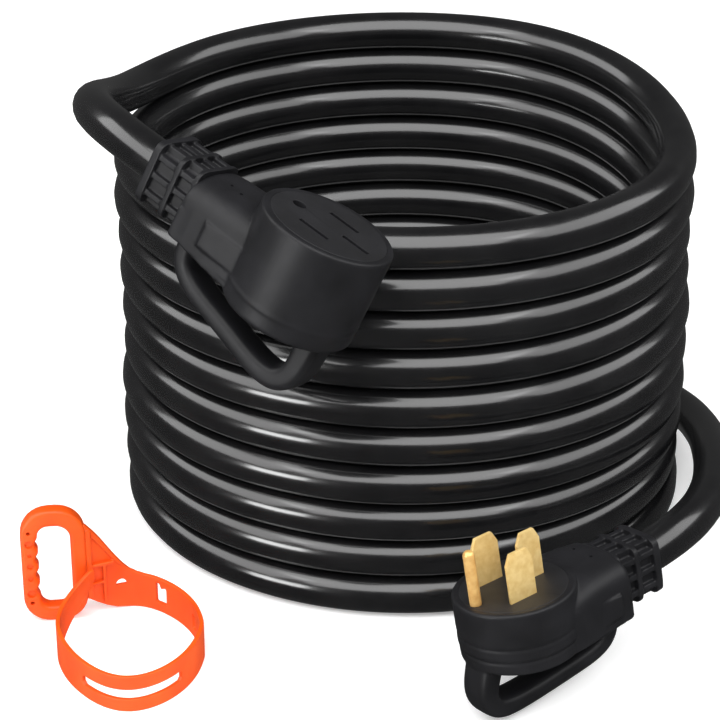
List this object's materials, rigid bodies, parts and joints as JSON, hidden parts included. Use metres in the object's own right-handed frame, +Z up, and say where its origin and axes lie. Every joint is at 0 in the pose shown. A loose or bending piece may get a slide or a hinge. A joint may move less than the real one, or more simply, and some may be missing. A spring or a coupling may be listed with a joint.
{
  "type": "shore power cord",
  "caption": "Heavy recreational-vehicle power cord in a standing round coil, with a right-angle plug, a right-angle connector, finger handles and a carry strap.",
  "frame": {"origin": "on the axis of the coil, at the floor that it stands on", "axes": "+Z up along the coil's axis; the plug and the strap lie in front, towards -Y; the plug is towards +X"},
  "size_m": [0.4162, 0.4695, 0.2891],
  "materials": {
    "cable_jacket": "glossy",
    "body_plastic": "satin",
    "insert_plastic": "satin",
    "blade_brass": "satin",
    "ground_brass": "polished",
    "strap_orange": "satin",
    "wire_black": "satin",
    "wire_red": "satin",
    "wire_white": "satin",
    "wire_green": "satin"
  },
  "bodies": {
    "cord": {"cable_coil": "cable_jacket", "cable_tail_connector": "cable_jacket", "cable_tail_plug": "cable_jacket", "connector_body": "body_plastic", "connector_face": "insert_plastic", "connector_carrier": "insert_plastic", "connector_handle": "body_plastic", "connector_strain_relief": "body_plastic", "connector_hot_contact_x": "blade_brass", "connector_hot_contact_y": "blade_brass", "connector_neutral_contact": "blade_brass", "connector_ground_contact": "ground_brass", "connector_wire_black": "wire_black", "connector_wire_red": "wire_red", "connector_wire_white": "wire_white", "connector_wire_green": "wire_green", "plug_body": "body_plastic", "plug_face": "insert_plastic", "plug_handle": "body_plastic", "plug_strain_relief": "body_plastic", "plug_hot_blade_x": "blade_brass", "plug_hot_blade_y": "blade_brass", "plug_neutral_blade": "blade_brass", "plug_ground_pin": "ground_brass", "plug_wire_black": "wire_black", "plug_wire_red": "wire_red", "plug_wire_white": "wire_white", "plug_wire_green": "wire_green"},
    "strap": {"strap_grip": "strap_orange", "strap_root_band": "strap_orange"},
    "strap_tail": {"strap_tail_band": "strap_orange"}
  },
  "joints": [
    {"name": "strap_lift", "type": "slide", "parent": "cord", "child": "strap", "axis": [0, 0, 1], "range_m": [0, 0.12]},
    {"name": "strap_open", "type": "hinge", "parent": "strap", "child": "strap_tail", "pos_m": [-0.113, -0.208, 0.01], "axis": [0, 0, 1], "range_deg": [0, 40], "stiffness_Nm_per_rad": 0.4}
  ]
}
